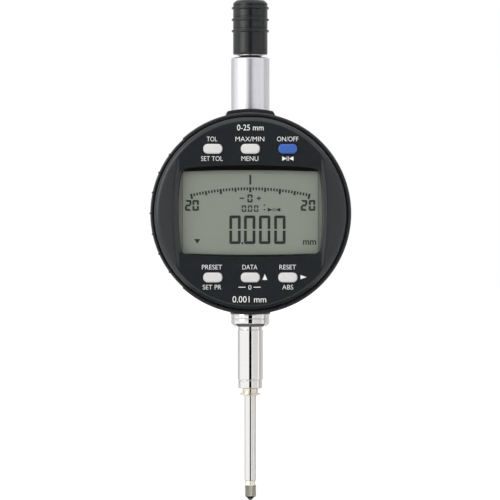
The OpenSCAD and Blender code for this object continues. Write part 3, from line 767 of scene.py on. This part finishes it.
def marks_between(build, x, z, wide, tall, back, front):
    """Two triangles that point at two bars between them."""
    tip, bar = wide * 0.1, wide * 0.045
    for side in (-1, 1):
        base = x + side * wide / 2
        build.prism([(base, z - tall / 2), (base, z + tall / 2), (x + side * tip, z)], back, front)
        corners = (0.2, 1), (1.2, 1), (1.2, -1), (0.2, -1)
        build.prism([(x + side * (tip - bar * k), z + tall / 2 * e) for k, e in corners], back, front)


INK = (FACE - 0.01, FACE + 0.02)
CAP = 1.4
THIN = -0.008
ABOVE, BELOW = 3.05, -3.0


def make_labels():
    """White function words round the buttons, and a plain range and resolution line."""
    build = Build()
    words = [
        ("TOL", -1, 1, ABOVE, 3.2), ("MAX/MIN", 0, 1, ABOVE, 8.9), ("ON/OFF", 1, 1, ABOVE, 6.6),
        ("SET TOL", -1, 1, BELOW, 6.7), ("MENU", 0, 1, BELOW, 5.2),
        ("PRESET", -1, -1, ABOVE + 0.15, 6.2), ("DATA", 0, -1, ABOVE + 0.15, 4.6),
        ("RESET", 1, -1, ABOVE + 0.15, 5.1),
        ("SET PR", -1, -1, BELOW, 5.7), ("0", 0, -1, BELOW - 0.05, 0.95), ("ABS", 1, -1, BELOW, 3.4),
    ]
    for word, col, row, offset, width in words:
        glyphs(build, word, col * PITCH * 1.01 - 0.15, row * ROW + offset, width, CAP, *INK, weight=THIN)
    marks_between(build, PITCH, ROW + BELOW, 3.5, 1.37, *INK)
    for x in (-2.6, 2.1):
        build.box((x - 1.1, x + 1.1), INK, (-ROW + BELOW - 0.12, -ROW + BELOW + 0.1))
    build.prism([(3.73, -20.65), (5.25, -20.65), (4.49, -18.8)], *INK)
    build.prism([(15.53, -20.45), (17.37, -19.79), (15.53, -19.12)], *INK)
    glyphs(build, "0-25 mm", 0, 26.5, 8.2, 1.75, *INK)
    glyphs(build, "0.001 mm", -0.3, -26.66, 10.4, 1.9, *INK)
    place(build.thing("key_labels", white_ink), "display", replacing=False)


LCD = Reach("lcd_panel")
GLASS = LCD.f[1]
CELL_X = 21.05
SEGMENT = (GLASS - 0.01, GLASS + 0.03)


def seven(build, x, z, stroke, lit, gap):
    """A seven-segment digit; gap is half the opening at mid height."""
    (x0, x1), (z0, z1) = x, z
    s, c, slit = stroke, 0.3 * stroke, 0.05 * stroke
    middle = (z0 + z1) / 2
    for sign, low, name in ((1, z1, "a"), (-1, z0, "d")):
        if name in lit:
            build.prism([(x0 + c, low), (x1 - c, low),
                         (x1 - c, low - sign * c), (x1 - s - slit, low - sign * s),
                         (x0 + s + slit, low - sign * s), (x0 + c, low - sign * c)], *SEGMENT)
    for out, inward, up, down in ((x0, 1, "f", "e"), (x1, -1, "b", "c")):
        for end, sign, name in ((z1, 1, up), (z0, -1, down)):
            if name in lit:
                build.prism([(out, end - sign * c * 1.1), (out + inward * c, end - sign * c * 0.9),
                             (out + inward * s, end - sign * (s + slit)),
                             (out + inward * s, middle + sign * gap),
                             (out, middle + sign * gap)], *SEGMENT)
    if "g" in lit:
        half = s / 2
        build.prism([(x0 + c, middle), (x0 + s, middle + half), (x1 - s, middle + half), (x1 - c, middle),
                     (x1 - s, middle - half), (x0 + s, middle - half)], *SEGMENT)


def make_lcd():
    panel = Build()
    middle, tall = (LCD.z[0] + LCD.z[1]) / 2, LCD.z[1] - LCD.z[0]
    panel.stack([(lozenge(0, middle, 2 * LCD.r - 2 * i, tall - 2 * i, 0.3), f)
                 for i, f in ((0, LCD.f[0]), (0, GLASS - 0.1), (0.1, GLASS))], shade=1)
    cell = barrel(CELL_X, 0, LCD.z[1] - 0.4, 0, LCD.z[0] + 0.4, 0)
    panel.prism(cell, GLASS - 0.01, GLASS + 0.008)
    place(panel.thing("lcd_panel", lcd_glass, lcd_border), "display", "lcd_glass")

    build = Build()
    arc_r, arc_top, reach = 84.0, 8.05, math.asin(18.4 / 84.0)
    for i in range(-20, 21):
        length, wide = (1.6, 0.66) if i % 10 == 0 else (1.35, 0.6) if i % 5 == 0 else (0.9, 0.5)
        a = reach * i / 20
        corners = [(-wide / 2, 0), (wide / 2, 0), (wide / 2, -length), (-wide / 2, -length)]
        build.prism([(u * math.cos(a) + (arc_r + v) * math.sin(a), arc_top - arc_r - u * math.sin(a)
                      + (arc_r + v) * math.cos(a)) for u, v in corners], *SEGMENT)
    build.prism([(-0.29, 8.9), (0.29, 8.9), (0.29, 11.9), (-0.29, 11.9)], *SEGMENT)
    zero, two = "abcdef", "abged"
    for start in (-6.5, -1.95, 2.7, 7.4):
        seven(build, (start, start + 3.52), (-9.55, -0.7), 0.86, zero, 0.24)
    for start in (-2.65, -0.75, 1.15):
        seven(build, (start, start + 1.35), (0.43, 2.44), 0.38, zero, 0.1)
    seven(build, (-0.9, 0.7), (3.34, 5.85), 0.5, zero, 0.15)
    for start, lit in ((-20.25, two), (-17.95, zero), (15.65, two), (18.15, zero)):
        seven(build, (start, start + 2.0), (0.75, 4.1), 0.62, lit, 0.18)
    for x, z, half in ((-2.45, -9.3, 0.3), (-1.05, 0.6, 0.14), (4.37, 2.5, 0.22), (4.37, 1.1, 0.22)):
        build.box((x - half, x + half), SEGMENT, (z - half, z + half))
    for x, z, wide, tall in ((-2.65, 4.64, 1.35, 0.4), (2.65, 4.64, 1.35, 0.4)):
        build.box((x - wide / 2, x + wide / 2), SEGMENT, (z - tall / 2, z + tall / 2))
    for side in (-1, 1):
        build.prism([(2.49, 4.64 + side * 0.2), (2.81, 4.64 + side * 0.2), (2.81, 4.64 + side * 0.66),
                     (2.49, 4.64 + side * 0.66)], *SEGMENT)
    marks_between(build, 7.35, 1.08, 3.95, 1.24, *SEGMENT)
    build.prism([(-17.4, -8.0), (-16.46, -9.47), (-15.5, -8.0)], *SEGMENT)
    glyphs(build, "mm", 18.37, -9.08, 4.1, 1.46, *SEGMENT, gauge="m", weight=0.02)
    for side in (-1, 1):
        x = side * CELL_X
        build.prism([(x - 0.06, LCD.z[0] + 0.4), (x + 0.06, LCD.z[0] + 0.4), (x + 0.06, LCD.z[1] - 0.4),
                     (x - 0.06, LCD.z[1] - 0.4)], *SEGMENT)
    place(build.thing("lcd_segments", lcd_ink), "display", replacing=False)


# ---- Stem, sleeve and plunger ------------------------------------------------------------------

spindle = Reach("spindle")
cap = Reach("lifting_cap")
tip = Reach("contact_tip")
ball = Reach("contact_ball")
cap_collar = Reach("cap_collar")
spring = Reach("return_spring")


def make_stem():
    bore, low, top = 2.3, collar.z[0], stem.z[1]
    neck, clamp_low, end = low - 1.1, low - 16.6, stem.z[0]
    seat = end + 6
    turned_piece("clamping_stem", "housing", polished_steel, [
        (bore, top), (stem.r, top, 0.3), (stem.r, low, 0.03), (stem.r - 0.2, low, 0.03),
        (stem.r - 0.2, neck + 0.1, 0.03), (stem.r, neck, 0.05), (stem.r, clamp_low, 0.08),
        (stem.r - 0.3, clamp_low - 0.1, 0.04), (stem.r - 0.3, clamp_low - 0.3, 0.04),
        (3.8, clamp_low - 0.4, 0.05),
        (3.75, end, 0.25), (2.8, end, 0.02), (2.8, seat), (bore, seat),
    ])
    r, high = collar.r, collar.z[1]
    turned_piece("stem_collar", "housing", polished_steel, [
        (stem.r + 0.02, high), (r, high, 0.12), (r, high - 1.38, 0.06), (r - 0.2, high - 1.5, 0.05),
        (r, high - 1.62, 0.06), (r, low + 1, 0.3), (r - 1.0, low, 0.25), (stem.r + 0.02, low),
    ])
    r = 1.88
    turned_piece("lower_bush", "housing", bronze, [
        (r, seat), (2.8, seat), (2.8, end, 0.02), (2.45, end, 0.02),
        (2.45, end - 1.5, 0.08), (3.2, end - 1.5, 0.1),
        (3.2, end - 1.97, 0.1), (2.25, end - 1.97, 0.08), (2.25, end - 2.3, 0.1), (r, end - 2.3, 0.05),
    ])


def make_top():
    r, bore, low, high = sleeve.r, 3.4, sleeve.z[0], sleeve.z[1]
    turned_piece("top_sleeve", "housing", satin_steel, [
        (bore, low), (SLEEVE_THREAD_R, low, 0.3), (SLEEVE_THREAD_R, low + SLEEVE_SEAT, 0.02),
        (r, low + SLEEVE_SEAT, 0.1), (r, high - 0.4, 0.35),
        (r - 0.75, high, 0.2), (bore, high, 0.2),
    ], steps=6)
    low, r, hole_r = cap.z[0], cap.r - 0.45, 1.86
    ribs, high = [cap.z[1] - drop for drop in (2.5, 6.15, 9.7)], cap.z[1]
    profile = [(hole_r, low), (r - 0.1, low, 0.35), (r, low + 0.6, 0.2)]
    for rib in reversed(ribs):
        profile += [(r, rib - 0.36, 0.12), (cap.r, rib - 0.36, 0.22),
                    (cap.r, rib + 0.36, 0.22), (r, rib + 0.36, 0.12),
                    (r, rib + 0.84, 0.04), (r - 0.12, rib + 0.88, 0.04), (r - 0.12, rib + 0.94, 0.04),
                    (r, rib + 0.98, 0.04)]
    profile += [(r, high - 1.0, 0.5), (r - 1.0, high - 0.05, 0.7), (0, high),
                (0, high - 4.6), (hole_r, high - 4.6)]
    turned_piece("lifting_cap", "plunger", cap_plastic, profile, closed=True)
    low, high = cap_collar.z
    turned_piece("cap_collar", "plunger", polished_steel, [
        (hole_r, low), (2.9, low, 0.15), (3.5, high - 0.55, 0.3),
        (4.0, high - 0.25, 0.2), (4.0, high, 0.05), (hole_r, high),
    ])


def make_plunger():
    r, low, high = spindle.r, *spindle.z
    turned_piece("spindle", "plunger", polished_steel, [
        (0, low + 5), (1.25, low + 5), (1.25, low, 0.05), (r, low, 0.2), (r, high, 0.3), (0, high),
    ], closed=False)
    make_tip(low)
    low, r = ball.z[0], 0.85
    seat = ball.z[1] - 0.02
    build = Build()
    span = math.acos(1 - (seat - low) / r)
    arc = [(r * math.sin(span * k / 14), low + r * (1 - math.cos(span * k / 14))) for k in range(15)]
    build.lathe([(0.0, low)] + arc[1:] + [(0.0, seat)], n=64)
    place(build.thing("contact_ball", polished_steel), "plunger", "polished_steel")


def make_tip(top):
    """The contact point: a pilot in the spindle, a neck, a barrel with diamond knurling and a cone."""
    barrel_r, neck, knurl_low = tip.r, top - 1.1, top - 4.95
    seat = tip.z[0]
    teeth, rows, per_tooth = 18, 56, 8
    edge, groove, shaded_below = 0.3, 0.26, 0.36
    n = teeth * per_tooth
    build = Build()
    rings = [(0, tip.z[1]), (1.2, tip.z[1]), (1.2, top), (1.5, top), (1.6, top - 0.1), (1.6, neck),
             (barrel_r - edge, neck)]
    lead = 1.7 * 2 * math.pi * barrel_r / teeth

    def wave(turn):
        """0 in the groove and 1 on the crest, once a turn."""
        return 1 - abs(2 * (turn % 1) - 1)

    def crest(along, z):
        """The height of the knurling where its left-hand and right-hand grooves cross."""
        return min(wave(along + z / lead), wave(along - z / lead))

    def knurl(z):
        ring = []
        fade = ease(min(neck - z, z - knurl_low) / edge)
        for k in range(n):
            r = barrel_r - edge * (1 - fade) - groove * (1 - crest(teeth * k / n, z)) * fade
            a = 2 * math.pi * k / n
            ring.append((r * math.cos(a), r * math.sin(a), z))
        return ring

    levels = [[(a, b, z) for a, b in circle(r, n)] if r else [(0, 0, z)] for r, z in rings]
    levels += [knurl(neck + (knurl_low - neck) * k / rows) for k in range(1, rows)]
    cone = soften([(barrel_r - edge, knurl_low), (1.3, knurl_low - 0.05, 0.1),
                   (0.86, seat + 0.05, 0.1), (0.85, seat)], 3)
    levels += [[(a, b, z) for a, b in circle(r, n)] for r, z in cone] + [[(0, 0, seat)]]
    build.loft(levels, ends=False)
    tip_piece = build.thing("contact_tip", knurl_steel, knurl_groove_painted_shade, black_steel)
    # Faces deep in the knurl's grooves take the dark copy of the steel: painted shade. The cone takes the
    # black steel.
    for face in tip_piece.data.polygons:
        x, y, z = face.center
        z = (z - DIAL) / MM
        if z < knurl_low:
            face.material_index = 2
        elif z < neck - 0.2 and crest(teeth * math.atan2(y, x) / (2 * math.pi), z) < shaded_below:
            face.material_index = 1
    place(tip_piece, "plunger", "dark_steel", sharp=50)


def make_spring():
    """Round wire along the helix, at one even pitch from end to end."""
    turns, wire, coil_r, per_turn, sides = 20, 0.22, 2.55, 32, 10
    low, high = spring.z[0] + wire, spring.z[1] - wire
    steps = turns * per_turn
    rings = []
    for i in range(steps + 1):
        a = 2 * math.pi * i / per_turn
        share = i / steps
        z = low + (high - low) * share
        rings.append([((coil_r + wire * math.cos(b)) * math.cos(a),
                       (coil_r + wire * math.cos(b)) * math.sin(a),
                       z + wire * math.sin(b)) for b in (2 * math.pi * k / sides for k in range(sides))])
    build = Build()
    build.loft(rings)
    coil = place(build.thing("return_spring", spring_steel), "housing", "spring_steel")
    coil.modifiers.clear()
    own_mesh(coil)


def make_battery():
    cell = Reach("battery")
    build = Build()
    middle = ((cell.x[0] + cell.x[1]) / 2, 0)
    build.lathe(soften([
        (0, cell.f[0]), (cell.r, cell.f[0], 0.35), (cell.r, cell.f[1] - 0.35, 0.2),
        (cell.r - 0.9, cell.f[1] - 0.35, 0.1),
        (cell.r - 1.1, cell.f[1], 0.25), (0, cell.f[1]),
    ], 4), "f", 96, spot=middle)
    place(build.thing("battery", screw_steel), "battery_drawer", "screw_steel")


# ---- The pieces in the order they are put together ---------------------------------------------

make_housing()
make_side_cover()
make_rear_cover()
make_display_bezel()
make_buttons()
make_labels()
make_lcd()
make_stem()
make_top()
make_plunger()
make_spring()
make_battery()

rear = Reach("rear_cover_screws")
make_screws("rear_cover_screws", "housing", REAR_SCREWS, REAR_HEAD_R, 1.0, 0.8,
            cover_back.f[0] + 1.2, rear.f[0], rear.f[1])
inner = Reach("frame_screws")
make_screws("frame_screws", "housing", FRAME_SCREWS, FRAME_HEAD_R, 1.0, 0.8,
            inner.f[0] + 1.1, inner.f[0], inner.f[1])
plate = Reach("back_plate_screws")
plate_spots = spots("back_plate_screws", PLATE_HEAD_R)
make_screws("back_plate_screws", "display", plate_spots, PLATE_HEAD_R, 1.0, 0.65,
            plate.f[0] + 0.6, plate.f[0], plate.f[1])
sensor = Reach("sensor_board_screws")
sensor_spots = [((sensor.x[0] + sensor.x[1]) / 2, z) for z in (-9.2, 9.2)]
make_screws("sensor_board_screws", "housing", sensor_spots, BOARD_HEAD_R, 0.8,
            0.6, sensor.f[1] - 0.9, sensor.f[1], sensor.f[0])

KEPT = {
    bronze: ["upper_bush"],
    rubber_black: ["wiper_ring", "rear_gasket", "friction_ring", "zebra_strips"],
    dark_steel: ["carrier_screws"],
    spring_steel: ["spring_seat", "retaining_ring"],
    screw_steel: ["stem_lock_nut", "stop_pin", "anti_rotation_pin"],
    light_alloy: ["guide_frame", "guide_rail", "scale_carrier"],
    circuit_board: ["sensor_board", "main_board"],
    chip_black: ["reader_chip"],
    inner_plastic: ["contact_block", "data_socket", "battery_tray", "display_back_plate"],
    contact_gold: ["battery_contacts", "dome_contacts"],
    flex_amber: ["link_cable"],
    scale_glass: ["scale_strip"],
    lens_clear: ["window_lens"],
    light_plastic: ["lcd_frame"],
    silicone_grey: ["keypad_mat"],
}
for material, names in KEPT.items():
    for name in names:
        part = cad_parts[name].data
        part.materials.clear()
        part.materials.append(material)

# ---- Stage, light and camera -------------------------------------------------------------------

scene = bpy.context.scene
scene.view_settings.view_transform = "Standard"

world = bpy.data.worlds.new("tent")
scene.world = world
world.use_nodes = True
world.node_tree.nodes["Background"].inputs["Color"].default_value = (1, 1, 1, 1)
world.node_tree.nodes["Background"].inputs["Strength"].default_value = 1.0


def stage_sheet(name, middle, across, up, shade, seen, glow=0.0):
    """A flat rectangle of the stage, in metres, with half widths across and up."""
    middle, across, up = Vector(middle), Vector(across), Vector(up)
    made = bpy.data.meshes.new(name)
    corners = [middle - across - up, middle + across - up, middle + across + up, middle - across + up]
    made.from_pydata(corners, [], [(0, 1, 2, 3)])
    made.materials.append(look(name, shade, 0.9, mottle=0.02, grain=40, bump=0.0, Specular_IOR_Level=0.1,
                               Emission_Color=(1, 1, 1, 1), Emission_Strength=glow))
    thing = bpy.data.objects.new(name, made)
    scene.collection.objects.link(thing)
    thing.visible_camera = seen


def softbox(name, spot, size, power):
    """A rectangular area light aimed at the dial."""
    lamp = bpy.data.lights.new(name, "AREA")
    lamp.shape = "RECTANGLE"
    lamp.size, lamp.size_y = size
    lamp.energy = power
    thing = bpy.data.objects.new(name, lamp)
    thing.location = spot
    thing.rotation_euler = (Vector((0, 0, DIAL)) - Vector(spot)).to_track_quat("-Z", "Y").to_euler()
    thing.visible_camera = False
    scene.collection.objects.link(thing)


TIP = CAD_BOX[0][2]
FLOOR = TIP - 0.6
stage_sheet("floor", (0, 0, FLOOR), (60, 0, 0), (0, 60, 0), "fbfbfb", True, glow=0.2)

# The cards are what the polished steel mirrors: the camera doesn't see them.
stage_sheet("low_card", (0, 0, TIP - 0.25), (0.3, 0, 0), (0, 0.32, 0), "686868", False)
stage_sheet("front_card", (0, -1.35, 0.03), (0.27, 0, 0), (0, 0, 0.5), "050505", False)
stage_sheet("right_card", (1.0, 0.1, 0.1), (0, 0.14, 0), (0, 0, 0.6), "c0c0c0", False)
stage_sheet("right_front_card", (1.0, -1.0, 0.1), (0.5, 0.5, 0), (0, 0, 0.8), "ececec", False)
stage_sheet("right_back_card", (0.75, 0.8, 0.1), (0.55, -0.5, 0), (0, 0, 0.8), "dedede", False)
stage_sheet("left_back_card", (-0.65, 0.85, 0.1), (0.45, 0.45, 0), (0, 0, 0.8), "dadada", False)
softbox("key", (-0.9, -0.7, 0.45), (0.7, 0.9), 3.8)
softbox("top", (0.1, -0.5, 1.2), (0.9, 0.9), 1)

lens = bpy.data.cameras.new("camera")
lens.sensor_width = 36
lens.lens = 252.4
lens.clip_start = 0.05
camera = bpy.data.objects.new("camera", lens)
camera.location = (-0.0001, -1.1, DIAL - 0.0114)
camera.rotation_euler = (math.pi / 2, 0, 0)
scene.collection.objects.link(camera)
scene.camera = camera
